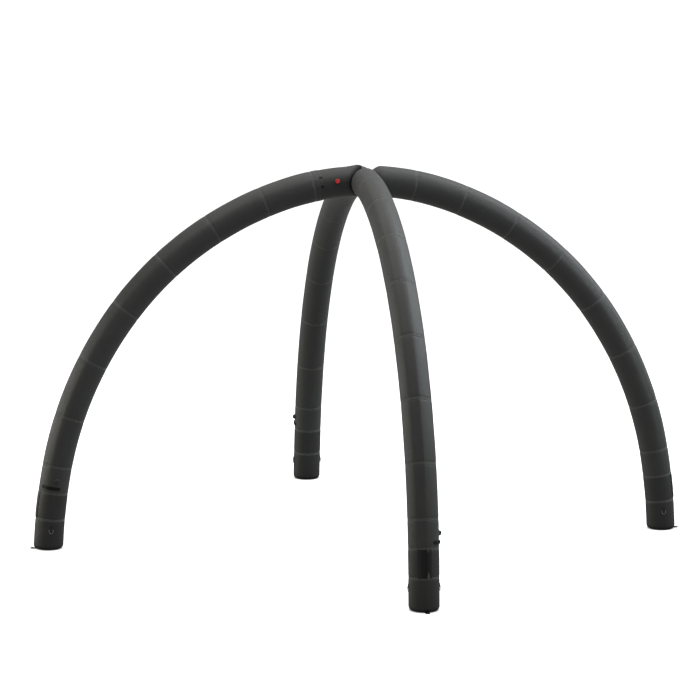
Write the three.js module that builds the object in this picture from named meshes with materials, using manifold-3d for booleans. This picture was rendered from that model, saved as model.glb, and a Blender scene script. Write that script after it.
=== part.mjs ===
// Inflatable tent frame: four curved air beams that stand on flat feet and meet at a crown.
// Millimetres, +Z up. The origin is on the floor under the crown, and the beams run along +X, +Y, -X and -Y.

import * as THREE from 'three';
import { mergeVertices } from 'three/addons/utils/BufferGeometryUtils.js';
import Module from 'manifold-3d';

const wasm = await Module();
wasm.setup();

// Driving dimensions

const gap = 0.3;            // between pieces that touch
const sides = 20;           // flats round a beam, with a flat facing straight out
const foldSegments = 8;     // steps in each rounded fold of webbing
const weldWithin = 0.001;   // points closer than this are one point of a solid

// A beam's centreline from the floor to the crown: its lean at the floor, then tangent arcs that end level at the crown
const footLean = 2.3;
const arcs = [
  { radius: 4960, turn: 8.3 },
  { radius: 3200, turn: 26.1 },
  { radius: 2815, turn: 35.4 },
  { radius: 2200, turn: 17.9 },
];

// Seams between the panels: place along the centreline from the floor, and the tube's size in and across its plane
const seams = [
  { along: 0, deep: 251, wide: 251 },
  { along: 263, deep: 251, wide: 251 },
  { along: 495, deep: 251, wide: 251 },
  { along: 724, deep: 251, wide: 251 },
  { along: 1156, deep: 255, wide: 251 },
  { along: 1668, deep: 259, wide: 251 },
  { along: 2194, deep: 263, wide: 251 },
  { along: 2707, deep: 265, wide: 251 },
  { along: 3217, deep: 267, wide: 251 },
  { along: 3714, deep: 267, wide: 251 },
  { along: 4156, deep: 267, wide: 251 },
];
// Lengths of tube between the foot and the crown: the seams they run between, and their cloth
const lengths = [
  { name: 'ankle_panel', from: 1, to: 2, cloth: 'boot' },
  { name: 'valve_panel', from: 2, to: 3, cloth: 'sleeve' },
  { name: 'sleeve_low', from: 3, to: 6, cloth: 'sleeve' },
  { name: 'sleeve_middle', from: 6, to: 8, cloth: 'sleeve' },
];
const crownFrom = 8;        // the seam where the crown length starts
const seamPinch = 2.5;      // how far a seam draws the tube in
const seamReach = 26;       // how far on each side the pinch runs out
const longPanel = 300;      // panels past this length have a row of points at their middle

const footEdge = 35;        // radius of the rounded edge at the base of a foot
const footEdgeRows = [0, 3, 10, 20, 35];

// The beams: heading from +X, and where and how steeply the inner end is bevelled towards the crown's axis
const beams = [
  { name: 'right', heading: 0, bevelFrom: 130, bevelSlope: 0.74 },
  { name: 'back', heading: 90, bevelFrom: 130, bevelSlope: 0.74 },
  { name: 'left', heading: 180, bevelFrom: 46, bevelSlope: 0.6 },
  { name: 'front', heading: 270, bevelFrom: 130, bevelSlope: 0.74 },
];
const crownSteps = [250, 140, 112, 78, 44, 12];    // distances from the crown's axis of the rows of an inner end

// Turned fittings have a profile of radius and height above the skin
const valve = {
  along: 612,
  angle: 90,
  segments: 14,
  profile: [[0, -7], [26, -7], [26, 3], [20, 5], [18.5, 12.5], [14, 18], [7, 20], [0, 20]],
};
const handle = { along: 542, width: 26, thickness: 2.6, standOff: 8, sewn: [29, 35], farSewn: [99, 107], steps: 8 };
const patch = { from: 267, to: 491, angles: [-35, 19], thickness: 1.5 };
const anchor = { width: 32, web: 2, reach: 32, noseRadius: 7, flatRun: 12, eyeStart: 18 };
const ring = {
  wire: 5, width: 38, height: 36, barAlong: 184, cornerRadius: 4, cornerSteps: 2, bowlSteps: 8, wireSides: 6,
};
const tab = { width: 25, web: 2, top: 212, slopeRun: 16 };
const cuffedBeam = 'left';
const cuff = { edge: 388, inset: 4, hem: 14, hemRise: 1.5, hemFade: 4 };
const cap = {
  fromAxis: 241,
  angle: 78,
  segments: 14,
  profile: [[0, -6], [20, -6], [20, 10], [17, 14], [11, 15], [0, 15]],
};
const cuffTab = { angles: [54, 90], from: 361, to: 386, width: 14, thickness: 2.5 };

// Cloth, webbing and fittings

const matte = (color, roughness) => new THREE.MeshStandardMaterial({ color, roughness, metalness: 0 });
const materials = {
  sleeve: matte('#45484a', 0.8),
  boot: matte('#303234', 0.75),
  cuff: matte('#363938', 0.8),
  patch: matte('#0e0f10', 0.28),
  webbing: matte('#17181a', 0.85),
  valve: matte('#1c1d1f', 0.45),
  cap: matte('#c81f1e', 0.4),
  ring: new THREE.MeshStandardMaterial({ color: '#c3c6c8', roughness: 0.3, metalness: 1 }),
};

// The centreline

const radians = THREE.MathUtils.degToRad;
const beamLength = arcs.reduce((sum, arc) => sum + arc.radius * radians(arc.turn), 0);
const footReach = arcs.reduce(({ run, lean }, arc) => {
  const next = lean + radians(arc.turn);
  return { run: run + arc.radius * (Math.cos(lean) - Math.cos(next)), lean: next };
}, { run: 0, lean: radians(footLean) }).run;

// Centre of the tube and the outward and upward directions at a distance along the beam from the floor
function frameAt(along) {
  let [x, z, lean, left] = [footReach, 0, radians(footLean), along];
  for (const arc of arcs) {
    const turn = Math.min(left / arc.radius, radians(arc.turn));
    x -= arc.radius * (Math.cos(lean) - Math.cos(lean + turn));
    z += arc.radius * (Math.sin(lean + turn) - Math.sin(lean));
    lean += turn;
    left -= turn * arc.radius;
  }
  return {
    centre: new THREE.Vector3(x, 0, z),
    out: new THREE.Vector3(Math.cos(lean), 0, Math.sin(lean)),
    side: new THREE.Vector3(0, 1, 0),
    up: new THREE.Vector3(-Math.sin(lean), 0, Math.cos(lean)),
  };
}

// The tube's skin

const facet = 2 * Math.PI / sides;
const facetAngles = Array.from({ length: sides }, (_, k) => (k + 0.5) * facet);

// A flat-sided tube's radius in parts of its smooth one, which its flats touch
function flatFactor(angle) {
  const offset = angle - Math.round(angle / facet) * facet;
  return 1 / Math.cos(offset);
}

// Half sizes of the tube between seams, drawn in beside each seam
function halfSizes(along) {
  const above = seams.findIndex((seam) => seam.along > along);
  const [low, high] = [seams.at(above < 0 ? -1 : above - 1), seams.at(above)];
  const share = above < 0 ? 0 : (along - low.along) / (high.along - low.along);
  const near = Math.min(...seams.slice(1).map((seam) => Math.abs(seam.along - along)));
  const pinch = seamPinch * Math.max(0, 1 - near / seamReach);
  return {
    deep: THREE.MathUtils.lerp(low.deep, high.deep, share) / 2 - pinch,
    wide: THREE.MathUtils.lerp(low.wide, high.wide, share) / 2 - pinch,
  };
}

// A point of the skin, at an angle in radians from straight out towards the beam's +Y side
function skin(along, angle, lift = 0) {
  const { centre, out, side } = frameAt(along);
  const { deep, wide } = halfSizes(along);
  const grow = flatFactor(angle);
  return centre.clone()
    .addScaledVector(out, Math.cos(angle) * (deep + lift) * grow)
    .addScaledVector(side, Math.sin(angle) * (wide + lift) * grow);
}

// Solids from rows of points

// Joins rows of points, each a closed outline, by a skin with capped ends, or with the last row joined to the first
function loft(rows, closed = false) {
  const points = rows.flat();
  const count = rows[0].length;
  const faces = [];
  const last = closed ? rows.length : rows.length - 1;
  for (let row = 0; row < last; row += 1) {
    for (let k = 0; k < count; k += 1) {
      const next = (k + 1) % count;
      const above = ((row + 1) % rows.length) * count;
      faces.push(row * count + k, row * count + next, above + next, row * count + k, above + next, above + k);
    }
  }
  if (!closed) {
    for (const [start, turned] of [[0, true], [points.length - count, false]]) {
      const outline = THREE.ShapeUtils.triangulateShape(flatOutline(points.slice(start, start + count)), []);
      outline.forEach(([a, b, c]) => faces.push(start + a, start + (turned ? c : b), start + (turned ? b : c)));
    }
  }
  return solid(points.flatMap((point) => point.toArray()), faces);
}

// A flat outline's points in two dimensions, seen so that the outline runs anticlockwise
function flatOutline(points) {
  const normal = new THREE.Vector3();
  points.forEach((point, k) => normal.add(point.clone().cross(points[(k + 1) % points.length])));
  const across = points[1].clone().sub(points[0]).normalize();
  const along = normal.normalize().clone().cross(across);
  return points.map((point) => new THREE.Vector2(point.dot(across), point.dot(along)));
}

function solid(positions, faces) {
  const geometry = new THREE.BufferGeometry();
  geometry.setAttribute('position', new THREE.Float32BufferAttribute(positions, 3));
  geometry.setIndex(faces);
  geometry.computeVertexNormals();
  return geometry;
}

function toManifold(geometry) {
  const bare = geometry.clone();
  bare.deleteAttribute('normal');
  bare.deleteAttribute('uv');
  const merged = mergeVertices(bare, weldWithin);
  return new wasm.Manifold(new wasm.Mesh({
    numProp: 3,
    vertProperties: Float32Array.from(merged.attributes.position.array),
    triVerts: Uint32Array.from(merged.index.array),
  }));
}

// What is left of a fitting's foot once the tube that it sits on, grown by the gap, is cut away
function seatOn(tube, fitting) {
  const mesh = toManifold(fitting).subtract(toManifold(tube)).getMesh();
  return solid(Array.from(mesh.vertProperties), Array.from(mesh.triVerts));
}

// Tube panels

const tubeRow = (along, lift = 0) => facetAngles.map((angle) => skin(along, angle, lift));

// Rows of a run of panels from one seam to another
function panelRows(first, last, lift = 0) {
  const rows = [];
  for (let k = first; k < last; k += 1) {
    const [low, high] = [seams[k].along, seams[k + 1].along];
    if (k > first) rows.push(low);
    rows.push(low + seamReach);
    if (high - low > longPanel) rows.push((low + high) / 2);
    rows.push(high - seamReach);
  }
  rows.unshift(seams[first].along + gap / 2);
  rows.push(seams[last].along - gap / 2);
  return rows.map((along) => tubeRow(along, lift));
}

// How far the foot's rounded base edge is drawn in at a height above the floor
const footInset = (height) => footEdge - Math.sqrt(footEdge ** 2 - (footEdge - height) ** 2);

// The foot: level rows round its base edge, then the panel up to the first seam
function footGeometry() {
  const edgeRows = footEdgeRows.map((height) => (
    tubeRow(height, -footInset(height)).map((point) => point.setZ(height))
  ));
  const top = seams[1].along;
  return loft([...edgeRows, tubeRow(top - seamReach), tubeRow(top - gap / 2)]);
}

// A row of a beam's inner end, bevelled and held inside the quarter that the beam has of the crown
function crownRow(beam, fromAxis, inset = 0) {
  const bevel = beam.bevelSlope * Math.max(0, beam.bevelFrom - fromAxis);
  return tubeRow(beamLength - fromAxis, -inset - bevel).map((point) => {
    const room = point.x - gap / Math.SQRT2;
    return point.setY(THREE.MathUtils.clamp(point.y, -room, room));
  });
}

// The last panels of a beam, up to its tip at the crown or to the edge of its cuff
function crownLength(beam) {
  const seam = seams.at(-1).along;
  const rows = [...panelRows(crownFrom, seams.length - 1).slice(0, -1), tubeRow(seam), tubeRow(seam + seamReach)];
  if (beam.name === cuffedBeam) return loft([...rows, tubeRow(beamLength - cuff.edge)]);
  return loft([...rows, ...crownSteps.map((step) => crownRow(beam, step))]);
}

// The slimmer end piece, with a raised hem at its outer edge
function cuffGeometry(beam, lift = 0) {
  const { inset, hem, hemRise, hemFade } = cuff;
  const edge = cuff.edge - gap;
  const hemRows = [edge, edge - hem].map((step) => crownRow(beam, step, inset - hemRise - lift));
  const rows = [edge - hem - hemFade, ...crownSteps].map((step) => crownRow(beam, step, inset - lift));
  return loft([...hemRows, ...rows]);
}

// Fittings

// A round fitting turned about an axis that stands on the skin
function turnedFitting(spec, along) {
  const geometry = new THREE.LatheGeometry(spec.profile.map(([r, h]) => new THREE.Vector2(r, h)), spec.segments);
  const { centre, out, side } = frameAt(along);
  const angle = radians(spec.angle);
  const axis = out.clone().multiplyScalar(Math.cos(angle)).addScaledVector(side, Math.sin(angle));
  const { deep, wide } = halfSizes(along);
  const foot = centre.clone()
    .addScaledVector(out, Math.cos(angle) * deep)
    .addScaledVector(side, Math.sin(angle) * wide);
  geometry.applyQuaternion(new THREE.Quaternion().setFromUnitVectors(new THREE.Vector3(0, 1, 0), axis));
  return geometry.translate(foot.x, foot.y, foot.z);
}

function valveGeometry() {
  const { from, to } = lengths.find(({ name }) => name === 'valve_panel');
  return seatOn(loft(panelRows(from, to, gap)), turnedFitting(valve, valve.along));
}

const capGeometry = (beam) => seatOn(cuffGeometry(beam, gap), turnedFitting(cap, beamLength - cap.fromAxis));

// A band that follows the skin: rows across it, each with an inner and an outer edge
function band(stations, width, along, thickness) {
  const [low, high] = [along - width / 2, along + width / 2];
  return loft(stations.map(([angle, lift]) => [
    skin(low, angle, lift), skin(high, angle, lift),
    skin(high, angle, lift + thickness), skin(low, angle, lift + thickness),
  ]));
}

function handleGeometry() {
  const { sewn, farSewn, standOff, steps, width, along, thickness } = handle;
  const bridge = Array.from({ length: steps + 1 }, (_, k) => {
    const rise = Math.sin(Math.PI * k / steps);
    return [radians(THREE.MathUtils.lerp(sewn[1], farSewn[0], k / steps)), gap + standOff * rise];
  });
  return band([[radians(sewn[0]), gap], ...bridge, [radians(farSewn[1]), gap]], width, along, thickness);
}

function patchGeometry() {
  const { from, to, thickness } = patch;
  const [start, end] = patch.angles.map(radians);
  const corners = [...facetAngles.map((angle) => angle - 2 * Math.PI), ...facetAngles];
  const angles = [start, ...corners.filter((angle) => angle > start && angle < end), end];
  return loft([from, seams[1].along + seamReach, seams[2].along - seamReach, to].map((along) => [
    ...angles.map((angle) => skin(along, angle, gap + thickness)),
    ...angles.toReversed().map((angle) => skin(along, angle, gap)),
  ]));
}

// Turns a profile drawn in a plane through the beam into a solid of the given width across that plane
function acrossPlane(shape, width, rotation) {
  const settings = { depth: width, bevelEnabled: false, curveSegments: foldSegments };
  const geometry = new THREE.ExtrudeGeometry(shape, settings);
  return geometry.translate(0, 0, -width / 2).rotateX(rotation);
}

// Folded webbing on the floor, closed where it enters the foot's base edge and open at its nose
function anchorGeometry() {
  const { width, web, reach, noseRadius, flatRun, eyeStart } = anchor;
  const [lowRow, highRow] = footEdgeRows.slice(1, 3);
  const rootHeight = 2 * web;
  const share = (rootHeight - lowRow) / (highRow - lowRow);
  const rootInset = THREE.MathUtils.lerp(footInset(lowRow), footInset(highRow), share);
  const side = frameAt(rootHeight).centre.x + seams[0].deep / 2;
  const root = side - rootInset + 2 * gap;
  const nose = side + reach - noseRadius;
  const shape = new THREE.Shape();
  shape.moveTo(root, 0).lineTo(nose, 0);
  shape.absarc(nose, noseRadius, noseRadius, -Math.PI / 2, Math.PI / 2, false);
  shape.lineTo(root + flatRun, rootHeight).lineTo(root, rootHeight);
  const eye = new THREE.Path();
  eye.moveTo(root + eyeStart, web).lineTo(nose, web);
  eye.absarc(nose, noseRadius, noseRadius - web, -Math.PI / 2, Math.PI / 2, false);
  shape.holes.push(eye);
  return acrossPlane(shape, width, Math.PI / 2);
}

// The ring's wire stands off the foot by the tab's inner layer
const wireLift = gap + tab.web + gap + ring.wire / 2;
const ringSides = [{ name: 'a', turn: 1 }, { name: 'b', turn: -1 }];

// Folded webbing round the ring's bar, drawn as height on the foot against distance from its skin
function tabGeometry({ turn }) {
  const { width, web, top, slopeRun } = tab;
  const round = ring.wire / 2 + gap;
  const bar = ring.barAlong;
  const shape = new THREE.Shape();
  shape.moveTo(gap, top);
  shape.lineTo(gap, bar);
  shape.absarc(wireLift, bar, round + web, Math.PI, 2 * Math.PI, false);
  shape.lineTo(gap + 2 * web, bar + slopeRun).lineTo(gap + 2 * web, top);
  const channel = new THREE.Path();
  channel.absarc(wireLift, bar, round, 0, 2 * Math.PI, true);
  shape.holes.push(channel);
  return onFootSide(acrossPlane(shape, width, 0), turn);
}

// Places a fitting drawn as x out from the skin, y up and z across on one side of the foot
function onFootSide(geometry, turn) {
  const { centre, out, side, up } = frameAt(ring.barAlong);
  const outwards = side.clone().multiplyScalar(turn);
  const across = out.clone().multiplyScalar(turn);
  const seat = centre.clone().addScaledVector(outwards, seams[0].wide / 2).addScaledVector(up, -ring.barAlong);
  return geometry.applyMatrix4(new THREE.Matrix4().makeBasis(outwards, up, across).setPosition(seat));
}

// A D of round wire: a straight bar at the top with rounded corners, and a half circle below
function ringGeometry({ turn }) {
  const { wire, width, height, barAlong, cornerRadius, cornerSteps, bowlSteps, wireSides } = ring;
  const half = (width - wire) / 2;
  const bowl = barAlong - (height - wire) + half;
  const path = [];
  const arc = (x, y, radius, from, to, steps) => {
    for (let k = 0; k <= steps; k += 1) {
      const angle = radians(THREE.MathUtils.lerp(from, to, k / steps));
      const normal = new THREE.Vector3(0, Math.sin(angle), Math.cos(angle));
      path.push({ centre: new THREE.Vector3(wireLift, y + radius * normal.y, x + radius * normal.z), normal });
    }
  };
  arc(half - cornerRadius, barAlong - cornerRadius, cornerRadius, 0, 90, cornerSteps);
  arc(cornerRadius - half, barAlong - cornerRadius, cornerRadius, 90, 180, cornerSteps);
  arc(0, bowl, half, 180, 360, bowlSteps);
  const rows = path.map(({ centre, normal }) => Array.from({ length: wireSides }, (_, k) => {
    const angle = 2 * Math.PI * k / wireSides;
    return centre.clone()
      .addScaledVector(normal, Math.cos(angle) * wire / 2)
      .add(new THREE.Vector3(Math.sin(angle) * wire / 2, 0, 0));
  }));
  return onFootSide(loft(rows, true), turn);
}

// A short flat tab at the cuff's hem, lying on one flat of the beam
function cuffTabGeometry(angleDegrees) {
  const { from, to, width, thickness } = cuffTab;
  const angle = radians(angleDegrees);
  const lift = gap - cuff.inset + cuff.hemRise;
  const spread = width / 2 / (seams.at(-1).wide / 2);
  return loft([to, from].map((fromAxis) => {
    const along = beamLength - fromAxis;
    return [
      skin(along, angle - spread, lift), skin(along, angle - spread, lift + thickness),
      skin(along, angle + spread, lift + thickness), skin(along, angle + spread, lift),
    ];
  }));
}

// The frame

function addPiece(group, name, geometry, material) {
  const mesh = new THREE.Mesh(geometry, materials[material]);
  mesh.name = name;
  group.add(mesh);
}

function beamGroup(beam) {
  const group = new THREE.Group();
  group.rotation.z = radians(beam.heading);
  const add = (piece, geometry, material) => addPiece(group, `${beam.name}_${piece}`, geometry, material);
  add('foot_panel', footGeometry(), 'boot');
  lengths.forEach(({ name, from, to, cloth }) => add(name, loft(panelRows(from, to)), cloth));
  add('sleeve_crown', crownLength(beam), 'sleeve');
  add('valve', valveGeometry(), 'valve');
  add('handle', handleGeometry(), 'webbing');
  add('gloss_patch', patchGeometry(), 'patch');
  add('anchor_loop', anchorGeometry(), 'webbing');
  ringSides.forEach((ringSide) => {
    add(`ring_tab_${ringSide.name}`, tabGeometry(ringSide), 'webbing');
    add(`ring_${ringSide.name}`, ringGeometry(ringSide), 'ring');
  });
  if (beam.name === cuffedBeam) {
    add('crown_cuff', cuffGeometry(beam), 'cuff');
    add('red_cap', capGeometry(beam), 'cap');
    cuffTab.angles.forEach((angle, k) => add(`cuff_tab_${k + 1}`, cuffTabGeometry(angle), 'webbing'));
  }
  return group;
}

const tentFrame = new THREE.Group();
beams.forEach((beam) => tentFrame.add(beamGroup(beam)));

export default tentFrame;
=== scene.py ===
import math

import bmesh
import bpy
from mathutils import Matrix, Vector, noise


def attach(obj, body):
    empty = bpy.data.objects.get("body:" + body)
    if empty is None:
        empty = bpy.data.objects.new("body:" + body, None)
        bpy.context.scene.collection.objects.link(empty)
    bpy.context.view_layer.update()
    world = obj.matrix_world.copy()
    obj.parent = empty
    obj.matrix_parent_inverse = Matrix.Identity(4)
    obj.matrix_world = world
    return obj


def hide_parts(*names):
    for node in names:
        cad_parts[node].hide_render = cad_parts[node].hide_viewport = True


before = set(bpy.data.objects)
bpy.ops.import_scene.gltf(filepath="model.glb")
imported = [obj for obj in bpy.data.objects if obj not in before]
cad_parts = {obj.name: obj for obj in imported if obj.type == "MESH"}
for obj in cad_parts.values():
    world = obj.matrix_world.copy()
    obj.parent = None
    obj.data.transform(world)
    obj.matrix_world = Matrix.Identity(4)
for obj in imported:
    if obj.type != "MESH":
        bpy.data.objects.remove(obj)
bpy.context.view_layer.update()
print("frame loaded with", len(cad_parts), "solids")


# The beams' shape, in metres and degrees, in the frame of the beam that runs along +X

beamPath = {
    "footLean": 2.3,
    "arcs": ((4.96, 8.3), (3.2, 26.1), (2.815, 35.4), (2.2, 17.9)),     # radius and turn, floor to crown
    "seams": (0, 0.263, 0.495, 0.724, 1.156, 1.668, 2.194, 2.707, 3.217, 3.714, 4.156),
    "deep": (0.251, 0.251, 0.251, 0.251, 0.255, 0.259, 0.263, 0.265, 0.267, 0.267, 0.267),     # by seam
    "wide": 0.251,
    "gap": 0.0003,
}
# How each beam tapers to its crown end, and how far its top is raised there
beams = {
    "right": {"heading": 0, "bevelFrom": 0.130, "bevelSlope": 0.74, "endRise": 0, "riseReach": 0.1},
    "back": {"heading": 90, "bevelFrom": 0.130, "bevelSlope": 0.74, "endRise": -0.016, "riseReach": 0.55},
    "left": {"heading": 180, "bevelFrom": 0.024, "bevelSlope": 0.9, "endRise": 0.017, "riseReach": 0.16},
    "front": {"heading": 270, "bevelFrom": 0.130, "bevelSlope": 0.74, "endRise": 0, "riseReach": 0.1},
}
skinRelief = {
    "pinch": 0.0027, "pinchReach": 0.026,                             # how a seam draws the tube in
    "facetEdges": (-75, -39, 0, 58),                                  # lengthwise seams, from straight out
    "facetFlat": 0.6,                                                 # how flat the cloth lies between them
    "facetLow": 0.35, "facetFrom": 0.3, "facetRun": 0.9,              # less near the floor
    "facetFade": 0.7, "facetTop": 3.2, "facetTopRun": 0.6,            # and less near the crown
    "edgeSoft": (2, 17), "edgeSoftFrom": 1.5, "edgeSoftRun": 1.8,     # facet edges, softer up the beam
    "sideSoft": 7, "sideReach": 0.5, "softSteps": 3,
    "ridge": 0.0055, "ridgeReach": 50,                                # the seam down the outer side
    "pucker": 0.0016, "puckerReach": 0.034, "puckerClear": 0.012, "puckerSize": 0.028, "puckerStretch": 0.2,
    "beamSeed": 10, "seamSeed": 3,                                    # so that no two seams pucker alike
    "sway": 0.0011, "swaySize": 0.2,
    "footEdge": 0.035,
    "bevelSoft": 0.008, "pressSoft": 0.007,                           # how round the ends are in the crown
    "crush": 0.0045, "crushReach": 0.14, "crushSize": 0.045,
}
tubeRadius = beamPath["wide"] / 2
beamLength = sum(radius * math.radians(turn) for radius, turn in beamPath["arcs"])


def stand(along):      # centre and lean of a beam at a distance along it from the floor
    x, z, lean, left = 0.0, 0.0, math.radians(beamPath["footLean"]), along
    for radius, turn in beamPath["arcs"]:
        step = min(left / radius, math.radians(turn))
        x -= radius * (math.cos(lean) - math.cos(lean + step))
        z += radius * (math.sin(lean + step) - math.sin(lean))
        lean += step
        left -= step * radius
    return x, z, lean


footReach = -stand(beamLength)[0]


def beamMatrix(along):     # columns: out, side, up and the centre
    x, z, lean = stand(along)
    return Matrix(((math.cos(lean), 0, -math.sin(lean), footReach + x), (0, 1, 0, 0),
                   (math.sin(lean), 0, math.cos(lean), z), (0, 0, 0, 1)))


def between(low, high, share):
    return low + (high - low) * share


def easing(share):
    share = min(max(share, 0), 1)
    return share * share * (3 - 2 * share)


def softly(value, soft):       # value where it is above nothing, rounded over a soft length
    return soft * math.log1p(math.exp(min(value / soft, 50)))


def halfDeep(along):
    seams, deep = beamPath["seams"], beamPath["deep"]
    for k in range(len(seams) - 1):
        if along < seams[k + 1]:
            return between(deep[k], deep[k + 1], (along - seams[k]) / (seams[k + 1] - seams[k])) / 2
    return deep[-1] / 2


def facetLift(angle):      # how far flat cloth between two lengthwise seams lies inside the round tube
    edges = [math.radians(edge) for edge in skinRelief["facetEdges"]]
    for low, high in zip(edges, edges[1:]):
        if low <= angle <= high:
            return tubeRadius * (math.cos((high - low) / 2) / math.cos(angle - (low + high) / 2) - 1)
    return 0.0


def facetedLift(along, angle):     # the facets and the outer ridge, averaged over the width of a soft edge
    look = skinRelief
    risen = easing((along - look["facetFrom"]) / look["facetRun"])
    flat = look["facetFlat"] * between(look["facetLow"], 1, risen)
    fade = 1 - look["facetFade"] * easing((along - look["facetTop"]) / look["facetTopRun"])
    soft = between(*look["edgeSoft"], easing((along - look["edgeSoftFrom"]) / look["edgeSoftRun"]))
    soft = math.radians(between(soft, look["sideSoft"], easing(abs(angle) / look["sideReach"])))
    steps, total = look["softSteps"], 0.0
    for k in range(-steps, steps + 1):
        near = angle + soft * k / steps
        share = max(1 - abs(near) / math.radians(look["ridgeReach"]), 0)
        total += facetLift(near) * flat + look["ridge"] * share ** 2
    return total * fade / (2 * steps + 1)


def skinLift(beamName, along, angle):
    look = skinRelief
    near, seam = min((abs(along - place), k) for k, place in enumerate(beamPath["seams"]) if k)
    ring = Vector((math.cos(angle), math.sin(angle), 0)) * tubeRadius
    shift = look["beamSeed"] * beams[beamName]["heading"] / 90
    lift = facetedLift(along, angle) - look["pinch"] * easing(1 - near / look["pinchReach"])
    puckered = math.exp(-near / look["puckerReach"]) * easing(near / look["puckerClear"])
    rise = look["puckerStretch"] * along / look["puckerSize"] + look["seamSeed"] * seam + shift
    lift += look["pucker"] * puckered * noise.noise(ring / look["puckerSize"] + Vector((0, 0, rise)))
    lift += look["sway"] * noise.noise((ring + Vector((0, 0, along + shift))) / look["swaySize"])
    crush = easing(1 - (beamLength - along) / look["crushReach"])
    lift += look["crush"] * crush * noise.noise((ring + Vector((shift, 0, along))) / look["crushSize"])
    return lift


def skin(beamName, along, angle, lift=0.0):
    beam, edge, fromAxis = beams[beamName], skinRelief["footEdge"], beamLength - along
    lift += skinLift(beamName, along, angle)
    lift += beam["endRise"] * easing(1 - fromAxis / beam["riseReach"]) * max(math.cos(angle), 0) ** 2
    lift -= beam["bevelSlope"] * softly(beam["bevelFrom"] - fromAxis, skinRelief["bevelSoft"])
    if along < edge:
        lift -= edge - math.sqrt(max(edge ** 2 - (edge - along) ** 2, 0))
    deep, wide = halfDeep(along) + lift, tubeRadius + lift
    point = beamMatrix(along) @ Vector((math.cos(angle) * deep, math.sin(angle) * wide, 0))
    if along < edge:
        point.z = along        # the rows round the base edge are level
    over = softly(abs(point.y) - point.x + beamPath["gap"], skinRelief["pressSoft"])
    point.y = math.copysign(max(abs(point.y) - over, 0), point.y)      # held inside the beam's quarter
    return point


# Shader maths written as Python, on one material's nodes

class Signal:
    def __init__(self, finish, socket):
        self.finish, self.socket = finish, socket

    def maths(self, operation, first, second=0.0):
        return self.finish.node("ShaderNodeMath", {"operation": operation}, {0: first, 1: second})

    def __add__(self, other):
        return self.maths("ADD", self, other)

    def __sub__(self, other):
        return self.maths("SUBTRACT", self, other)

    def __rsub__(self, other):
        return self.maths("SUBTRACT", other, self)

    def __mul__(self, other):
        return self.maths("MULTIPLY", self, other)

    def __truediv__(self, other):
        return self.maths("DIVIDE", self, other)

    def __rtruediv__(self, other):
        return self.maths("DIVIDE", other, self)

    def __mod__(self, other):
        return self.maths("FLOORED_MODULO", self, other)

    def __lt__(self, other):
        return self.maths("LESS_THAN", self, other)

    def __abs__(self):
        return self.maths("ABSOLUTE", self)

    def sine(self):
        return self.maths("SINE", self)

    __radd__, __rmul__ = __add__, __mul__


class Finish:
    def __init__(self, name, tree=None):
        if tree is None:
            self.material = bpy.data.materials.new(name)
            self.material.use_nodes = True
            tree = self.material.node_tree
        self.tree = tree
        self.tree.nodes.clear()

    def node(self, kind, settings=None, inputs=None, out=0):
        made = self.tree.nodes.new(kind)
        for key, value in (settings or {}).items():
            if key == "stops":
                while len(made.color_ramp.elements) < len(value):
                    made.color_ramp.elements.new(1)
                for element, (place, grey) in zip(made.color_ramp.elements, value):
                    element.position, element.color = place, (grey, grey, grey, 1)
            else:
                setattr(made, key, value)
        for key, value in (inputs or {}).items():
            if isinstance(value, Signal):
                self.tree.links.new(value.socket, made.inputs[key])
            else:
                made.inputs[key].default_value = value
        return Signal(self, made.outputs[out] if len(made.outputs) else None)

    def parted(self, vector):      # a vector's first two parts
        first = self.node("ShaderNodeSeparateXYZ", {}, {0: vector})
        return first, Signal(self, first.socket.node.outputs[1])

    def clothSpot(self):       # a place on the piece's own cloth, and its metres along and across
        spot = self.node("ShaderNodeUVMap", {"uv_map": "cloth"})
        return spot, *self.parted(spot)

    def objectSpot(self):
        return self.node("ShaderNodeTexCoord", out=3)

    def floorSpot(self):       # metres out along the nearer of the floor's axes, and across it
        x, y = [abs(part) for part in self.parted(self.objectSpot())]
        return x.maths("MAXIMUM", x, y), x.maths("MINIMUM", x, y)

    def mixed(self, factor, first, second):
        return self.node("ShaderNodeMix", {"data_type": "RGBA"}, {0: factor, 6: first, 7: second}, 2)

    def cloudy(self, spot, size, stretch=(1, 1, 1), detail=2.0, seed=0.0):
        placed = {"Vector": spot, "Scale": stretch, "Location": (seed, seed, seed)}
        moved = self.node("ShaderNodeMapping", {}, placed)
        return self.node("ShaderNodeTexNoise", {}, {"Vector": moved, "Scale": 1 / size, "Detail": detail})

    def ramp(self, value, *stops):
        return self.node("ShaderNodeValToRGB", {"stops": stops}, {0: value})

    def bump(self, height):
        return self.node("ShaderNodeBump", {}, {"Strength": 1.0, "Distance": 1.0, "Height": height})

    def coat(self, **inputs):
        named = {key.replace("_", " "): value for key, value in inputs.items()}
        return self.node("ShaderNodeBsdfPrincipled", {}, named)

    def surface(self, shader):
        self.node("ShaderNodeOutputMaterial", {}, {0: shader})
        return self.material


# Finishes: colours are linear, sizes in metres

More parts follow.
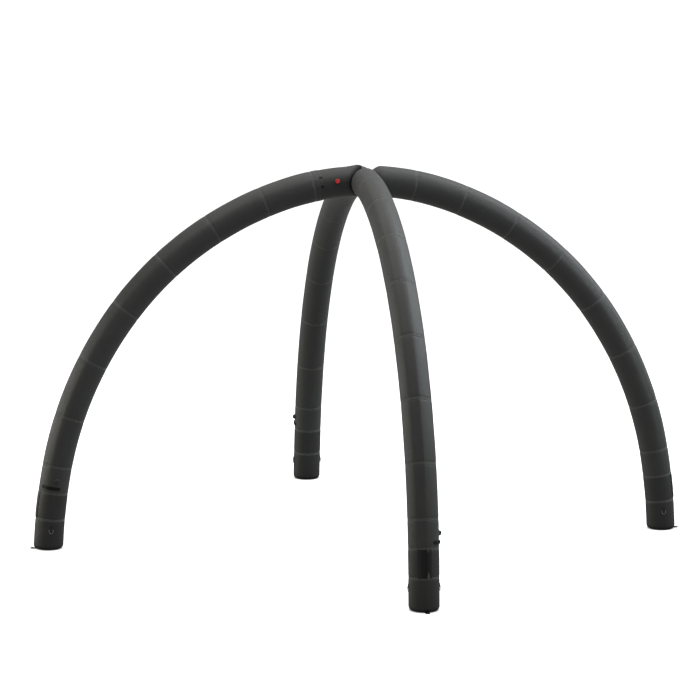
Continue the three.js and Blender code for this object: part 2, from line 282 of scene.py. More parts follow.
sleeveLook = {
    "dark": (0.040, 0.042, 0.042, 1), "light": (0.052, 0.054, 0.054, 1), "patchSize": 0.16,
    "streakSize": 0.03, "streakShare": 0.35,
    "thread": 0.0011, "depth": 0.00011, "weaveShade": 0.14,
    "crinkle": 0.0007, "crinkleSize": 0.055,
    "rough": 0.52, "roughRange": 0.12, "sheen": 0.12, "sheenRough": 0.45, "specular": 0.5,
    "stitchAt": 0.0065, "stitchHalf": 0.0007, "stitchPitch": 0.005, "stitchLength": 0.0032,
    "stitchRise": 0.0003, "stitchShow": 0.6, "stitchColor": (0.12, 0.124, 0.124, 1),
}
bootLook = {**sleeveLook, "dark": (0.026, 0.027, 0.027, 1), "light": (0.035, 0.036, 0.036, 1),
            "thread": 0.0016, "rough": 0.48, "sheen": 0.04}
cuffLook = {**sleeveLook, "dark": (0.028, 0.031, 0.030, 1), "light": (0.039, 0.043, 0.041, 1),
            "stitchShow": 0.0, "stitchRise": 0.0}
# Painted shade, mixed into the cloth as a dark matt coat. It is darker towards the floor, by the share of a
# height "sole" above it, partly a darker sole and partly painted shade near the floor. It is also painted
# shade in the crease between pressed ends, by the share of a depth "crease"
darkSoleAndShadeLook = {
    "color": (0.006, 0.006, 0.006, 1), "rough": 0.9,
    "sole": 0.3,
    "soleStops": ((0.0, 0.95), (0.034, 0.78), (0.09, 0.42), (0.12, 0.16), (0.5, 0.04), (1.0, 0.0)),
    "crease": 0.045,
    "creaseShadeStops": ((0.0, 0.7), (0.5, 0.25), (1.0, 0.0)),
}


def wovenCloth(name, look):
    finish = Finish(name)
    spot, along, around = finish.clothSpot()
    turn = 2 * math.pi / look["thread"]
    weave = (along * turn).sine() * (around * turn).sine()
    patchy = finish.cloudy(spot, look["patchSize"], detail=3.0)
    streaky = finish.cloudy(spot, look["streakSize"], (0.12, 1, 1), seed=3.1)
    blotch = patchy * (1 - look["streakShare"]) + streaky * look["streakShare"]
    tone = finish.ramp(blotch, (0.3, 0.0), (0.7, 1.0))
    inRow = abs(abs(around) - look["stitchAt"]) < look["stitchHalf"]
    stitch = inRow * ((along % look["stitchPitch"]) < look["stitchLength"])
    cloth = finish.mixed(tone, look["dark"], look["light"])
    cloth = finish.mixed(weave * look["weaveShade"] + look["weaveShade"], cloth, (0.0, 0.0, 0.0, 1))
    cloth = finish.mixed(stitch * look["stitchShow"], cloth, look["stitchColor"])
    crinkle = finish.cloudy(spot, look["crinkleSize"], (0.45, 1, 1), detail=3.0, seed=7.7)
    height = weave * look["depth"] + crinkle * look["crinkle"] + stitch * look["stitchRise"]
    rough = patchy * look["roughRange"] + (look["rough"] - look["roughRange"] / 2)
    clothCoat = finish.coat(Base_Color=cloth, Roughness=rough, Normal=finish.bump(height),
                        Sheen_Weight=look["sheen"], Sheen_Roughness=look["sheenRough"],
                        Specular_IOR_Level=look["specular"])
    # A dark matt coat without specular, mixed in as painted shade: towards the floor, where it also stands
    # for a darker sole, and in the crown's creases
    darkSoleAndShadeCoat = finish.coat(Base_Color=darkSoleAndShadeLook["color"], Roughness=darkSoleAndShadeLook["rough"], Specular_IOR_Level=0.0)
    # Painted shade in the creases where the beams' ends press together in the crown, near the diagonals
    # between the beams
    out, across = finish.floorSpot()
    creaseShade = finish.ramp((out - across) / darkSoleAndShadeLook["crease"], *darkSoleAndShadeLook["creaseShadeStops"])
    wearAndPaintedShade = finish.ramp(along / darkSoleAndShadeLook["sole"], *darkSoleAndShadeLook["soleStops"]) + creaseShade
    return finish.surface(finish.node("ShaderNodeMixShader", {}, {0: wearAndPaintedShade, 1: clothCoat, 2: darkSoleAndShadeCoat}))


tapeLook = {
    "dark": (0.064, 0.066, 0.065, 1), "light": (0.084, 0.087, 0.086, 1), "wornSize": 0.05,
    "rough": 0.62, "stitchGloss": 0.1, "sheen": 0.2, "specular": 0.35,
    "rib": 0.0016, "ribDepth": 0.00008,
    "stitchRow": 0.0074, "stitchHalf": 0.0006, "stitchPitch": 0.005, "stitchShare": 0.65,
    "stitchRise": 0.0004, "stitchColor": (0.12, 0.124, 0.124, 1),
}


def seamTape(name, look):
    finish = Finish(name)
    spot, across, around = finish.clothSpot()
    rib = (around * (2 * math.pi / look["rib"])).sine()
    wearAndPaintedShade = finish.ramp(finish.cloudy(spot, look["wornSize"], detail=4.0), (0.3, 0.0), (0.7, 1.0))
    tape = finish.mixed(wearAndPaintedShade, look["dark"], look["light"])
    inRow = abs(abs(across) - look["stitchRow"]) < look["stitchHalf"]
    stitch = inRow * ((around % look["stitchPitch"]) < look["stitchPitch"] * look["stitchShare"])
    tape = finish.mixed(stitch, tape, look["stitchColor"])
    rough = look["rough"] - stitch * look["stitchGloss"]
    height = rib * look["ribDepth"] + stitch * look["stitchRise"]
    return finish.surface(finish.coat(Base_Color=tape, Roughness=rough, Normal=finish.bump(height),
                                      Sheen_Weight=look["sheen"], Specular_IOR_Level=look["specular"]))


# A patch between two seams of a leg's outer side, with a tuck at its lower edge
glossPatch = {"from": 0.267, "to": 0.491, "angles": (-35, 19), "thickness": 0.0012, "clear": 0.0004,
              "draw": 0.0010, "drawIn": 0.04, "waves": (2.2, 1.6),
              "tuckAt": 0.011, "tuckHalf": 0.014, "tuckRise": 0.066, "tuckLift": 0.0022}
# Worn matt towards its sides, by the share of its width, with a painted highlight colour for the tuck and
# the top edge
patchLook = {
    "color": (0.0105, 0.0105, 0.011, 1), "paintedTuckHighlight": (0.11, 0.112, 0.112, 1),
    "scuff": (0.016, 0.016, 0.017, 1), "scuffSize": 0.018, "scuffShow": 0.5,
    "rough": 0.28, "scuffRough": 0.2, "mattRough": 0.28, "specular": 0.25,
    "pucker": 0.0011, "puckerSize": 0.045,
    "mattStops": ((0.0, 1.0), (0.1, 0.8), (0.28, 0.28), (0.45, 0.04),
                  (0.62, 0.0), (0.75, 0.32), (0.92, 0.65), (1.0, 1.0)),
}


def glossCloth(name, look):
    finish = Finish(name)
    spot, along, around = finish.clothSpot()
    pucker = finish.cloudy(spot, look["puckerSize"], (0.5, 1.3, 1), seed=1.3)
    marks = finish.cloudy(spot, look["scuffSize"], detail=6.0, seed=5.0)
    scuff = finish.ramp(marks, (0.52, 0.0), (0.75, 1.0))
    start, end = (math.radians(angle) * tubeRadius for angle in glossPatch["angles"])
    matt = finish.ramp((around - start) / (end - start), *look["mattStops"])
    gloss = finish.mixed(scuff * look["scuffShow"], look["color"], look["scuff"])
    cloth = finish.mixed(matt, gloss, finish.mixed(pucker, bootLook["dark"], bootLook["light"]))
    # Painted highlights: a light grey glint where the tuck rises at the lower edge, and a fainter one at
    # the top edge, on the same line
    tuck = abs(around - glossPatch["tuckAt"]) / glossPatch["tuckHalf"]
    low = tuck + (along - glossPatch["from"]) / glossPatch["tuckRise"]
    high = tuck + (glossPatch["to"] - along) / (glossPatch["tuckRise"] / 2)
    light = finish.ramp(low, (0.7, 1.0), (1.0, 0.0)) + finish.ramp(high, (0.6, 0.5), (1.0, 0.0))
    lit = finish.mixed(light, cloth, look["paintedTuckHighlight"])
    rough = scuff * look["scuffRough"] + matt * look["mattRough"] + look["rough"]
    height = pucker * look["pucker"]
    return finish.surface(finish.coat(Base_Color=lit, Roughness=rough, Normal=finish.bump(height),
                                      Specular_IOR_Level=look["specular"]))


webbingLook = {"dark": (0.0025, 0.0025, 0.003, 1), "light": (0.006, 0.006, 0.0065, 1),
               "rib": 0.0021, "depth": 0.0003, "twill": 0.7, "ribShow": 0.25,
               "wornSize": 0.02, "wornShow": 0.6, "wornRough": 0.15,
               "rough": 0.6, "sheen": 0.06, "specular": 0.25}
# The ring tabs are of a paler webbing
tabLook = {**webbingLook, "dark": (0.022, 0.023, 0.023, 1), "light": (0.032, 0.033, 0.033, 1)}


def ribbedWebbing(name, look):
    finish = Finish(name)
    spot, along, across = finish.clothSpot()
    turn = 2 * math.pi / look["rib"]
    rib = (along * turn).sine() * 0.5 + ((along + across * look["twill"]) * turn).sine() * 0.5
    wearAndPaintedShade = finish.cloudy(spot, look["wornSize"], detail=4.0)
    webbing = finish.mixed(rib * look["ribShow"] + wearAndPaintedShade * look["wornShow"], look["dark"], look["light"])
    rough = wearAndPaintedShade * look["wornRough"] + look["rough"]
    height = rib * look["depth"]
    return finish.surface(finish.coat(Base_Color=webbing, Roughness=rough, Normal=finish.bump(height),
                                      Sheen_Weight=look["sheen"], Specular_IOR_Level=look["specular"]))


valveLook = {"dark": (0.026, 0.026, 0.027, 1), "light": (0.042, 0.042, 0.043, 1), "rough": 0.55,
             "wornSize": 0.012, "wornRough": 0.2, "grainSize": 0.0015, "grain": 0.00012}
capLook = {**valveLook, "dark": (0.72, 0.02, 0.02, 1), "light": (0.94, 0.055, 0.05, 1), "rough": 0.3}


def mouldedPlastic(name, look):
    finish = Finish(name)
    spot = finish.objectSpot()
    grain = finish.cloudy(spot, look["grainSize"], detail=3.0)
    marks = finish.cloudy(spot, look["wornSize"], detail=5.0, seed=2.0)
    wearAndPaintedShade = finish.ramp(marks, (0.35, 0.0), (0.75, 1.0))
    plastic = finish.mixed(wearAndPaintedShade, look["dark"], look["light"])
    rough = wearAndPaintedShade * look["wornRough"] + look["rough"]
    height = grain * look["grain"]
    return finish.surface(finish.coat(Base_Color=plastic, Roughness=rough, Normal=finish.bump(height)))


ringLook = {"dark": (0.26, 0.265, 0.27, 1), "light": (0.4, 0.405, 0.41, 1), "rough": 0.36,
            "dullSize": 0.014, "dullRough": 0.18, "drawnSize": 0.0022, "drawn": 0.00006}


def brightWire(name, look):
    finish = Finish(name)
    spot = finish.objectSpot()
    drawn = finish.cloudy(spot, look["drawnSize"], detail=4.0)
    marks = finish.cloudy(spot, look["dullSize"], detail=4.0, seed=4.0)
    dull = finish.ramp(marks, (0.35, 0.0), (0.7, 1.0))
    wire = finish.mixed(dull, look["light"], look["dark"])
    rough = dull * look["dullRough"] + look["rough"]
    height = drawn * look["drawn"]
    return finish.surface(finish.coat(Base_Color=wire, Metallic=1.0, Roughness=rough,
                                      Normal=finish.bump(height)))


finishes = {
    "sleeve": wovenCloth("sleeveCloth", sleeveLook),
    "boot": wovenCloth("bootCloth", bootLook),
    "cuff": wovenCloth("cuffCloth", cuffLook),
    "tape": seamTape("seamTape", tapeLook),
    "patch": glossCloth("glossPatch", patchLook),
    "webbing": ribbedWebbing("webbing", webbingLook),
    "tab": ribbedWebbing("tabWebbing", tabLook),
    "valve": mouldedPlastic("valvePlastic", valveLook),
    "cap": mouldedPlastic("capPlastic", capLook),
    "ring": brightWire("ringWire", ringLook),
}
print("finishes made:", len(finishes))


# Cloth grids, strips and turned pieces

weldWithin = 2e-6


def clothGrid(stations, acrosses, place, spot):    # a grid bent to its place, with its own cloth's UV map
    mesh = bmesh.new()
    bmesh.ops.create_grid(mesh, x_segments=len(stations) - 1, y_segments=len(acrosses) - 1, size=1)
    cloth = mesh.loops.layers.uv.new("cloth")
    marks = {}
    for vert in mesh.verts:
        row = round((vert.co.x + 1) / 2 * (len(stations) - 1))
        column = round((vert.co.y + 1) / 2 * (len(acrosses) - 1))
        marks[vert] = (stations[row], acrosses[column])
    for face in mesh.faces:
        for loop in face.loops:
            loop[cloth].uv = spot(*marks[loop.vert])
    for vert, (station, across) in marks.items():
        vert.co = place(station, across)
    return mesh


def closeUp(mesh):         # joins the edges that meet, fills the ends and turns the faces outwards
    bmesh.ops.remove_doubles(mesh, verts=mesh.verts, dist=weldWithin)
    ends = [edge for edge in mesh.edges if edge.is_boundary]
    if ends:
        bmesh.ops.holes_fill(mesh, edges=ends, sides=0)
    bmesh.ops.recalc_face_normals(mesh, faces=mesh.faces)
    return mesh


def webbingSection(width, thickness):      # a flat band's outline, rounded at both edges
    half, radius = width / 2, thickness / 2
    turns = [math.pi * k / 4 - math.pi / 2 for k in range(5)]
    right = [(half - radius + radius * math.cos(turn), radius * math.sin(turn)) for turn in turns]
    left = [(-x, -y) for x, y in right]
    top = [(half / 3, radius), (-half / 3, radius)]
    bottom = [(-x, -y) for x, y in top]
    return [*right, *top, *left, *bottom, right[0]]


def strip(path, width, thickness, matrix):     # webbing laid along a path in the matrix's XY plane
    points = [Vector(spot).to_3d() for spot in path]
    lengths = [0.0]
    for start, end in zip(points, points[1:]):
        lengths.append(lengths[-1] + (end - start).length)

    def place(k, offset):
        before, after = points[max(k - 1, 0)], points[min(k + 1, len(points) - 1)]
        forward = (after - before).normalized()
        out = Vector((-forward.y, forward.x, 0))
        return matrix @ (points[k] + out * offset[1] + Vector((0, 0, offset[0])))

    return closeUp(clothGrid(range(len(points)), webbingSection(width, thickness), place,
                             lambda k, offset: (lengths[k], offset[0])))


def turned(profile, steps):        # a profile of radius and height, spun about Z
    mesh = bmesh.new()
    verts = [mesh.verts.new((radius, 0, height)) for radius, height in profile]
    edges = [mesh.edges.new(pair) for pair in zip(verts, verts[1:])]
    bmesh.ops.spin(mesh, geom=verts + edges, axis=(0, 0, 1), cent=(0, 0, 0), angle=2 * math.pi, steps=steps,
                   use_merge=True)
    return closeUp(mesh)


def keep(name, mesh, beamName, finish, slot, *nodes, crease=40):       # turned to its beam and made a piece
    mesh.transform(Matrix.Rotation(math.radians(beams[beamName]["heading"]), 4, "Z"))
    data = bpy.data.meshes.new(name)
    mesh.to_mesh(data)
    mesh.free()
    data.shade_smooth()
    data.set_sharp_from_angle(angle=math.radians(crease))
    data.materials.append(finishes[finish])
    piece = bpy.data.objects.new(name, data)
    bpy.context.scene.collection.objects.link(piece)
    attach(piece, "root")
    if nodes:
        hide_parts(*nodes)
    return piece


# The tubes

tubeLook = {"around": 96, "step": 0.027, "edgeSteps": (0.005, 0.010, 0.016, 0.023, 0.034), "footSteps": 8}
tubeLengths = {
    "ankle_panel": {"seams": (1, 2), "finish": "boot"},
    "valve_panel": {"seams": (2, 3), "finish": "sleeve"},
    "sleeve_low": {"seams": (3, 6), "finish": "sleeve"},
    "sleeve_middle": {"seams": (6, 8), "finish": "sleeve"},
}
# Runs of rows to the crown, each by its first distance from the crown's axis, its step and its count
crownEnd = {"seams": (8, 10), "from": 0.388,
            "runs": ((0.378, 0.010, 21), (0.167, 0.007, 8), (0.110, 0.008, 11), (0.024, 0.006, 3))}
crownSteps = [first - step * k for first, step, count in crownEnd["runs"] for k in range(count)]
tubeAngles = [math.radians(-180 + 360 * k / tubeLook["around"]) for k in range(tubeLook["around"] + 1)]


def rowsBetween(low, high, nearLow=True, nearHigh=True):    # closer together beside a seam
    edges = tubeLook["edgeSteps"]
    first = [low + step for step in edges] if nearLow else []
    last = [high - step for step in reversed(edges)] if nearHigh else []
    start, end = (first or [low])[-1], (last or [high])[0]
    count = max(1, round((end - start) / tubeLook["step"]))
    middle = [between(start, end, k / count) for k in range(1, count)]
    return [*first, *middle, *last]


def panelRows(first, last):
    seams, rows = beamPath["seams"], []
    for k in range(first, last):
        rows += [seams[k], *rowsBetween(seams[k], seams[k + 1])]
    return [*rows, seams[last]]


def tube(beamName, rows, lift=lambda fromAxis: 0.0):
    half = beamPath["gap"] / 2
    rows = [rows[0] + half, *rows[1:-1], rows[-1] - half]
    place = lambda along, angle: skin(beamName, along, angle, lift(beamLength - along))
    return closeUp(clothGrid(rows, tubeAngles, place, lambda along, angle: (along, angle * tubeRadius)))


def makeTubes(beamName):
    edge, seams, steps = skinRelief["footEdge"], beamPath["seams"], tubeLook["footSteps"]
    edgeRows = [edge * (1 - math.cos(math.radians(90 * k / steps))) for k in range(1, steps + 1)]
    footRows = [-beamPath["gap"] / 2, *edgeRows, *rowsBetween(edge, seams[1], nearLow=False), seams[1]]
    mesh = tube(beamName, footRows)
    keep(f"{beamName}_boot", mesh, beamName, "boot", "boot", f"{beamName}_foot_panel")
    for node, length in tubeLengths.items():
        name, cloth = f"{beamName}_{node}", length["finish"]
        mesh = tube(beamName, panelRows(*length["seams"]))
        keep(f"{name}_cloth", mesh, beamName, cloth, cloth, name)
    end = beamLength - crownEnd["from"]
    rows = [*panelRows(*crownEnd["seams"]), *rowsBetween(seams[-1], end, nearHigh=False)]
    if beamName == crownCuff["beam"]:
        rows.append(end)
    else:
        rows += [beamLength - step for step in crownSteps]
    name = f"{beamName}_sleeve_crown"
    keep(f"{name}_cloth", tube(beamName, rows), beamName, "sleeve", "sleeve", name)


# Valves and caps stand on the skin

airValve = {"along": 0.612, "angle": 90, "grips": 20, "grip": 0.0009, "gripFrom": 0.0195,
            "profile": ((0, -0.001), (0.0255, -0.001), (0.026, 0.0004), (0.0255, 0.0024), (0.0225, 0.0038),
                        (0.0202, 0.0046), (0.0198, 0.007), (0.0188, 0.012), (0.0173, 0.0152),
                        (0.0145, 0.0178), (0.0105, 0.0196), (0.008, 0.0194), (0.005, 0.0192),
                        (0, 0.0194))}
fittingFoot = {"sunk": 0.001, "bentTo": 0.008, "gripAbove": 0.005}     # how any such fitting meets the skin


def gripEdge(mesh, look):      # draws in every other column of the rim
    for vert in mesh.verts:
        flat = math.hypot(vert.co.x, vert.co.y)
        column = round(math.atan2(vert.co.y, vert.co.x) / math.pi * look["grips"])
        if flat > look["gripFrom"] and vert.co.z > fittingFoot["gripAbove"] and column % 2:
            vert.co.xy *= 1 - look["grip"] / flat


def seatOn(mesh, beamName, along, angle, lift):    # bends the flat foot round the beam and stands it there
    for vert in mesh.verts:
        vert.co.z -= vert.co.y ** 2 / beamPath["wide"] * (1 - easing(vert.co.z / fittingFoot["bentTo"]))
    turn = Matrix.Rotation(math.radians(angle), 4, "Z")
    stood = Matrix(((0, 0, 1, 0), (0, 1, 0, 0), (-1, 0, 0, 0), (0, 0, 0, 1)))     # Z out, Y round the skin
    radius = tubeRadius + lift + skinLift(beamName, along, math.radians(angle))
    radius += beamPath["gap"] + fittingFoot["sunk"]
    mesh.transform(beamMatrix(along) @ turn @ Matrix.Translation((radius, 0, 0)) @ stood)


def makeValve(beamName):
    mesh = turned(airValve["profile"], 2 * airValve["grips"])
    gripEdge(mesh, airValve)
    seatOn(mesh, beamName, airValve["along"], airValve["angle"], 0.0)
    keep(f"{beamName}_air_valve", mesh, beamName, "valve", "valve", f"{beamName}_valve", crease=30)


# The left beam's cuff, with its hem, tabs and cap

crownCuff = {"beam": "left", "inset": 0.004, "hem": 0.014, "hemRise": 0.0018, "hemFade": 0.004,
             "hemRows": (0, 0.006, 0.013, 0.0145, 0.016, 0.018, 0.024), "rowsFrom": 0.028}
cuffTabs = {"angles": (54, 90), "from": 0.361, "to": 0.386, "width": 0.014, "thickness": 0.0025, "steps": 6}
redCap = {"fromAxis": 0.241, "angle": 78, "grips": 24, "grip": 0.0007, "gripFrom": 0.0185,
          "profile": ((0, -0.001), (0.0195, -0.001), (0.02, 0.0005), (0.02, 0.009), (0.0192, 0.0115),
                      (0.017, 0.0135), (0.012, 0.0145), (0.0085, 0.0135), (0.006, 0.0132), (0, 0.0135))}


def cuffLift(fromAxis):
    look = crownCuff
    into = crownEnd["from"] - fromAxis
    return -look["inset"] + look["hemRise"] * (1 - easing((into - look["hem"]) / look["hemFade"]))


def makeCuff():
    name, edge = crownCuff["beam"], crownEnd["from"] - beamPath["gap"]
    steps = [edge - step for step in crownCuff["hemRows"]]
    steps += [step for step in crownSteps if step < edge - crownCuff["rowsFrom"]]
    mesh = tube(name, [beamLength - step for step in steps], cuffLift)
    keep("left_cuff_cloth", mesh, name, "cuff", "cuff", "left_crown_cuff")
    low, high = beamLength - cuffTabs["to"], beamLength - cuffTabs["from"]
    rows = [between(low, high, k / cuffTabs["steps"]) for k in range(cuffTabs["steps"] + 1)]
    section = webbingSection(cuffTabs["width"], cuffTabs["thickness"])
    lift = cuffLift(crownEnd["from"]) + cuffTabs["thickness"] / 2 + beamPath["gap"]
    for k, angle in enumerate(cuffTabs["angles"]):
        def place(along, offset):
            return skin(name, along, math.radians(angle) + offset[0] / tubeRadius, lift + offset[1])

        mesh = closeUp(clothGrid(rows, section, place, lambda along, offset: (along, offset[0])))
        keep(f"left_cuff_strap_{k + 1}", mesh, name, "webbing", "webbing", f"left_cuff_tab_{k + 1}")
    mesh = turned(redCap["profile"], 2 * redCap["grips"])
    gripEdge(mesh, redCap)
    seatOn(mesh, name, beamLength - redCap["fromAxis"], redCap["angle"], -crownCuff["inset"])
    keep("left_red_cap_moulded", mesh, name, "cap", "cap", "left_red_cap", crease=30)


# Webbing: handle, anchor loop and ring tabs

grabHandle = {"along": 0.542, "width": 0.026, "thickness": 0.0026, "standOff": 0.008, "sewn": (29, 35),
              "farSewn": (99, 107), "sewnSteps": 3, "steps": 24}


def makeHandle(beamName):
    look, sewn, steps = grabHandle, grabHandle["sewnSteps"], grabHandle["steps"]
    near, far = look["sewn"], look["farSewn"]
    stations = [(between(*near, k / sewn), 0.0) for k in range(sewn)]
    for k in range(steps + 1):
        rise = look["standOff"] * math.sin(math.pi * k / steps)
        stations.append((between(near[1], far[0], k / steps), rise))
    stations += [(between(*far, k / sewn), 0.0) for k in range(1, sewn + 1)]
    middle = beamPath["gap"] + look["thickness"] / 2

    def place(station, offset):
        angle, rise = station
        return skin(beamName, look["along"] + offset[0], math.radians(angle), middle + rise + offset[1])

    mesh = closeUp(clothGrid(stations, webbingSection(look["width"], look["thickness"]), place,
                             lambda station, offset: (math.radians(station[0]) * tubeRadius, offset[0])))
    keep(f"{beamName}_grab_strap", mesh, beamName, "webbing", "webbing", f"{beamName}_handle")


# The webbing is a little thinner than the room left for each layer
anchorLoop = {"width": 0.032, "room": 0.002, "web": 0.00188, "reach": 0.032, "nose": 0.007,
              "flatRun": 0.012, "tuckedIn": 0.0193, "steps": 8, "noseSteps": 12}


def makeAnchor(beamName):      # folded round a nose, with both ends under the foot
    look, gap, steps = anchorLoop, beamPath["gap"], anchorLoop["steps"]
    room, nose, noseSteps = look["room"], look["nose"], look["noseSteps"]
    side = beamMatrix(2 * room).translation.x + tubeRadius
    root, tip, bend = side - look["tuckedIn"] + 2 * gap, side + look["reach"] - nose, nose - room / 2
    turns = [math.pi * k / noseSteps for k in range(noseSteps + 1)]
    end, high, low = root + look["flatRun"], 2 * nose - room / 2, 1.5 * room
    path = [(between(root, tip, k / steps), room / 2) for k in range(steps)]
    path += [(tip + bend * math.sin(turn), nose - bend * math.cos(turn)) for turn in turns]
    path += [(between(tip, end, k / steps), between(high, low, k / steps)) for k in range(1, steps + 1)]
    path += [(root + look["flatRun"] / 2, low), (root, low)]
    standing = Matrix(((1, 0, 0, 0), (0, 0, -1, 0), (0, 1, 0, 0), (0, 0, 0, 1)))
    mesh = strip(path, look["width"], look["web"], standing)
    keep(f"{beamName}_anchor_strap", mesh, beamName, "webbing", "webbing", f"{beamName}_anchor_loop")


ringTab = {"width": 0.025, "room": 0.002, "web": 0.00188, "top": 0.212, "slopeRun": 0.016,
           "downSteps": 5, "foldSteps": 14, "upSteps": 3}
wireRing = {"wire": 0.005, "width": 0.038, "height": 0.036, "bar": 0.184, "corner": 0.004, "sides": 12,
            "cornerSteps": 6, "bowlSteps": 24, "uvStep": 0.004}


def footSide(turn):        # columns: out of the foot's side, up, across and the floor below
    place = beamMatrix(wireRing["bar"])
    out, up, centre = place.col[0].xyz, place.col[2].xyz, place.col[3].xyz
    outwards, across = Vector((0, turn, 0)), out * turn
    seat = centre + outwards * tubeRadius - up * wireRing["bar"]
    return Matrix([(outwards[k], up[k], across[k], seat[k]) for k in range(3)] + [(0, 0, 0, 1)])


def makeRingTab(beamName, side, turn, lift):
    look, gap, bar = ringTab, beamPath["gap"], wireRing["bar"]
    room, top, slope = look["room"], look["top"], bar + look["slopeRun"]
    down, fold, up = look["downSteps"], look["foldSteps"], look["upSteps"]
    bend = wireRing["wire"] / 2 + gap + room / 2
    folds = [math.pi * k / fold for k in range(fold + 1)]
    path = [(gap + room / 2, between(top, bar, k / down)) for k in range(down)]
    path += [(lift - bend * math.cos(angle), bar - bend * math.sin(angle)) for angle in folds]
    path += [(gap + 1.5 * room, between(slope, top, k / up)) for k in range(up + 1)]
    mesh = strip(path, look["width"], look["web"], footSide(turn))
    keep(f"{beamName}_ring_strap_{side}", mesh, beamName, "tab", "webbing", f"{beamName}_ring_tab_{side}")


def makeRing(beamName, side, turn):
    look = wireRing
    wire, corner = look["wire"] / 2, look["corner"]
    lift = beamPath["gap"] + ringTab["room"] + beamPath["gap"] + wire
    makeRingTab(beamName, side, turn, lift)
    half = look["width"] / 2 - wire
    bowl = look["bar"] - (look["height"] - look["wire"]) + half
    arcs = ((half - corner, look["bar"] - corner, corner, 0, 90, look["cornerSteps"]),
            (corner - half, look["bar"] - corner, corner, 90, 180, look["cornerSteps"]),
            (0, bowl, half, 180, 360, look["bowlSteps"]))
    spots = []
    for x, y, radius, start, end, steps in arcs:
        spots += [(x, y, radius, math.radians(between(start, end, k / steps))) for k in range(steps + 1)]
    sides = [2 * math.pi * k / look["sides"] for k in range(look["sides"] + 1)]
    matrix = footSide(turn)

    def place(k, angle):
        x, y, radius, at = spots[k % len(spots)]
        reach = radius + wire * math.cos(angle)
        across, up = x + reach * math.cos(at), y + reach * math.sin(at)
        return matrix @ Vector((lift + wire * math.sin(angle), up, across))

    mesh = closeUp(clothGrid(range(len(spots) + 1), sides, place,
                             lambda k, angle: (k * look["uvStep"], angle * wire)))
    keep(f"{beamName}_wire_ring_{side}", mesh, beamName, "ring", "ring", f"{beamName}_ring_{side}")


# Seam tapes and the gloss patch

seamTapes = {"width": 0.020, "thickness": 0.0012}


def makeTapes(beamName):       # one piece of all the tapes round a beam
    section = webbingSection(seamTapes["width"], seamTapes["thickness"])
    whole = bmesh.new()
    for seam in beamPath["seams"][1:]:
        def place(angle, offset):
            return skin(beamName, seam + offset[0], angle, seamTapes["thickness"] / 2 + offset[1])

        mesh = closeUp(clothGrid(tubeAngles, section, place,
                                 lambda angle, offset: (offset[0], angle * tubeRadius)))
        part = bpy.data.meshes.new("part")
        mesh.to_mesh(part)
        mesh.free()
        whole.from_mesh(part)
        bpy.data.meshes.remove(part)
    keep(f"{beamName}_seam_tapes", whole, beamName, "tape", "sleeve")


patchGrid = {"rows": 44, "halfColumns": 20}


def makePatch(beamName):
    look, height = glossPatch, glossPatch["to"] - glossPatch["from"]
    start, end = (math.radians(angle) for angle in look["angles"])
    middle, half = (start + end) / 2, (end - start) / 2
    count, halfCount = patchGrid["rows"], patchGrid["halfColumns"]
    rows = [between(look["from"], look["to"], k / count) for k in range(count + 1)]
    columns = [half * (k / halfCount - 1) for k in range(2 * halfCount + 1)]

    def place(along, angle):       # drawn in between its corners
        share, side = 2 * (along - look["from"]) / height - 1, angle / half
        angle = middle + angle * (1 - look["drawIn"] * (1 - share ** 2))
        edge = max(abs(share), abs(side))
        across, up = look["waves"]
        waves = noise.noise(Vector((side * across, share * up, beams[beamName]["heading"])))
        lift = look["draw"] * (1 - edge ** 4) * (0.5 + waves) + look["thickness"] + look["clear"]
        tuck = abs(angle * tubeRadius - look["tuckAt"]) / look["tuckHalf"]
        tuck += (along - look["from"]) / look["tuckRise"]
        return skin(beamName, along, angle, lift + look["tuckLift"] * max(1 - tuck, 0))

    mesh = clothGrid(rows, columns, place, lambda along, angle: (along, (middle + angle) * tubeRadius))
    bmesh.ops.recalc_face_normals(mesh, faces=mesh.faces)
    bmesh.ops.solidify(mesh, geom=mesh.faces[:], thickness=look["thickness"])
    bmesh.ops.recalc_face_normals(mesh, faces=mesh.faces)
    patch = keep(f"{beamName}_gloss_cloth", mesh, beamName, "patch", "patch", f"{beamName}_gloss_patch")


# Camera, light, floor and world

cameraView = {"place": (-5.319, -27.6665, 6.131), "turn": 10.6821, "down": 9.0095, "roll": 0.42,
              "lens": 168.9, "sensor": 36, "clipEnd": 600}
softboxAim = (0, 0, 1.5)
softboxes = {
    "top": {"place": (0, 0, 9.5), "size": (12, 12), "power": 560, "color": (1, 0.981, 0.96)},
    "topRight": {"place": (8, 1, 8), "size": (8, 8), "power": 605, "color": (0.903, 0.968, 1)},
    "rightHigh": {"place": (12, -2, 6), "size": (7, 5), "power": 153, "color": (0.957, 1, 1)},
    "left": {"place": (-13, -1, 2.5), "size": (7, 5), "power": 77, "color": (1, 0.88, 0.49)},
    "leftBack": {"place": (-12, 6, 2.5), "size": (7, 5), "power": 417, "color": (1, 0.962, 0.923)},
}
# Pale and glowing, with a painted contact shadow where a foot meets it, by the share of a reach from the
# foot's middle
floorLook = {"size": 420, "color": (0.93, 0.93, 0.93, 1), "glow": 1.0, "rough": 0.9,
             "paintedShadow": (0.004, 0.004, 0.004, 1), "paintedShadowReach": 0.3,
             "paintedShadowStops": ((0.30, 0.0), (0.36, 0.25), (0.42, 0.75), (0.54, 0.97), (1.0, 1.0))}
worldLook = {"seen": (0.96, 0.96, 0.96, 1), "fill": (0.294, 0.296, 0.289, 1)}


def aimed(thing, place, direction, roll=0):
    thing.location = place
    tilt = Matrix.Rotation(math.radians(roll), 3, "Z").to_quaternion()
    thing.rotation_euler = (Vector(direction).to_track_quat("-Z", "Y") @ tilt).to_euler()
    bpy.context.scene.collection.objects.link(thing)


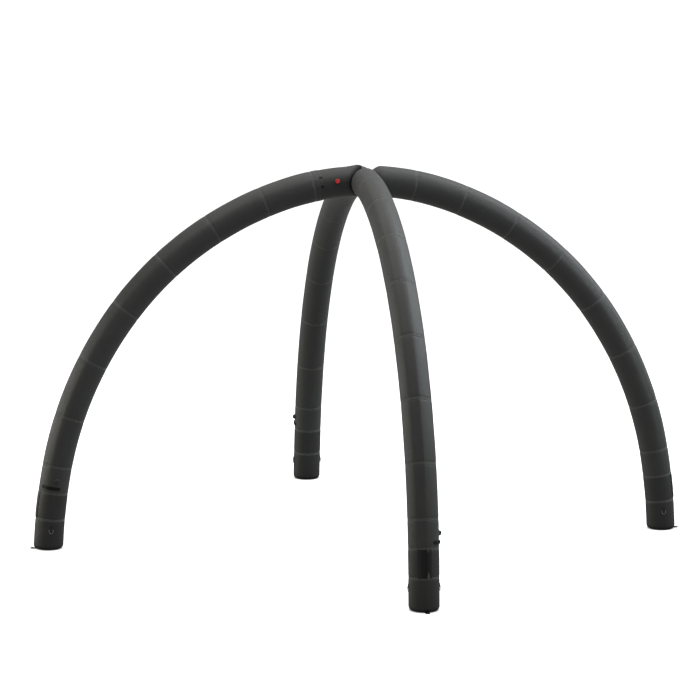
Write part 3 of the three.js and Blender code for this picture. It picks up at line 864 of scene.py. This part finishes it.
def makeStage():
    scene = bpy.context.scene
    scene.view_settings.view_transform = "Standard"
    camera = bpy.data.objects.new("camera", bpy.data.cameras.new("camera"))
    camera.data.lens = cameraView["lens"]
    camera.data.sensor_width = cameraView["sensor"]
    camera.data.clip_end = cameraView["clipEnd"]
    turn, down = math.radians(cameraView["turn"]), math.radians(cameraView["down"])
    looks = (math.sin(turn) * math.cos(down), math.cos(turn) * math.cos(down), -math.sin(down))
    aimed(camera, cameraView["place"], looks, cameraView["roll"])
    scene.camera = camera
    for name, box in softboxes.items():
        lamp = bpy.data.lights.new(name, "AREA")
        lamp.shape = "RECTANGLE"
        lamp.size, lamp.size_y = box["size"]
        lamp.energy, lamp.color = box["power"], box["color"]
        light = bpy.data.objects.new(name, lamp)
        light.visible_camera = False
        aimed(light, box["place"], Vector(softboxAim) - Vector(box["place"]))


def makeFloor():
    mesh = bmesh.new()
    bmesh.ops.create_grid(mesh, x_segments=1, y_segments=1, size=floorLook["size"] / 2)
    data = bpy.data.meshes.new("floor")
    mesh.to_mesh(data)
    mesh.free()
    finish = Finish("paleFloor")
    along, across = finish.floorSpot()
    # Painted contact shadow: darker near each foot's middle, by the distance from it
    square = (along - footReach) * (along - footReach) + across * across
    away = finish.node("ShaderNodeMath", {"operation": "SQRT"}, {0: square})
    lit = finish.ramp(away / floorLook["paintedShadowReach"], *floorLook["paintedShadowStops"])
    paleWithShadow = finish.mixed(lit, floorLook["paintedShadow"], floorLook["color"])
    paint = finish.coat(Base_Color=paleWithShadow, Roughness=floorLook["rough"], Emission_Color=paleWithShadow,
                        Emission_Strength=floorLook["glow"])
    data.materials.append(finish.surface(paint))
    floor = bpy.data.objects.new("floor", data)
    floor.visible_diffuse = floor.visible_glossy = False
    bpy.context.scene.collection.objects.link(floor)


def makeWorld():       # pale to the camera, dimmer as light
    world = bpy.data.worlds.new("studio")
    bpy.context.scene.world = world
    world.use_nodes = True
    sky = Finish("studio", world.node_tree)
    seen = sky.node("ShaderNodeBackground", {}, {"Color": worldLook["seen"]})
    fill = sky.node("ShaderNodeBackground", {}, {"Color": worldLook["fill"]})
    ray = sky.node("ShaderNodeLightPath")
    both = sky.node("ShaderNodeMixShader", {}, {0: ray, 1: fill, 2: seen})
    sky.node("ShaderNodeOutputWorld", {}, {0: both})


# Making

makeStage()
print("camera and lights set:", len(softboxes), "softboxes")
for beamName in beams:
    makeTubes(beamName)
    makeTapes(beamName)
    makePatch(beamName)
    makeValve(beamName)
    makeHandle(beamName)
    makeAnchor(beamName)
    for side, turn in (("a", 1), ("b", -1)):
        makeRing(beamName, side, turn)
    print(beamName, "beam dressed")
makeCuff()
print(crownCuff["beam"], "cuff dressed")
makeFloor()
makeWorld()
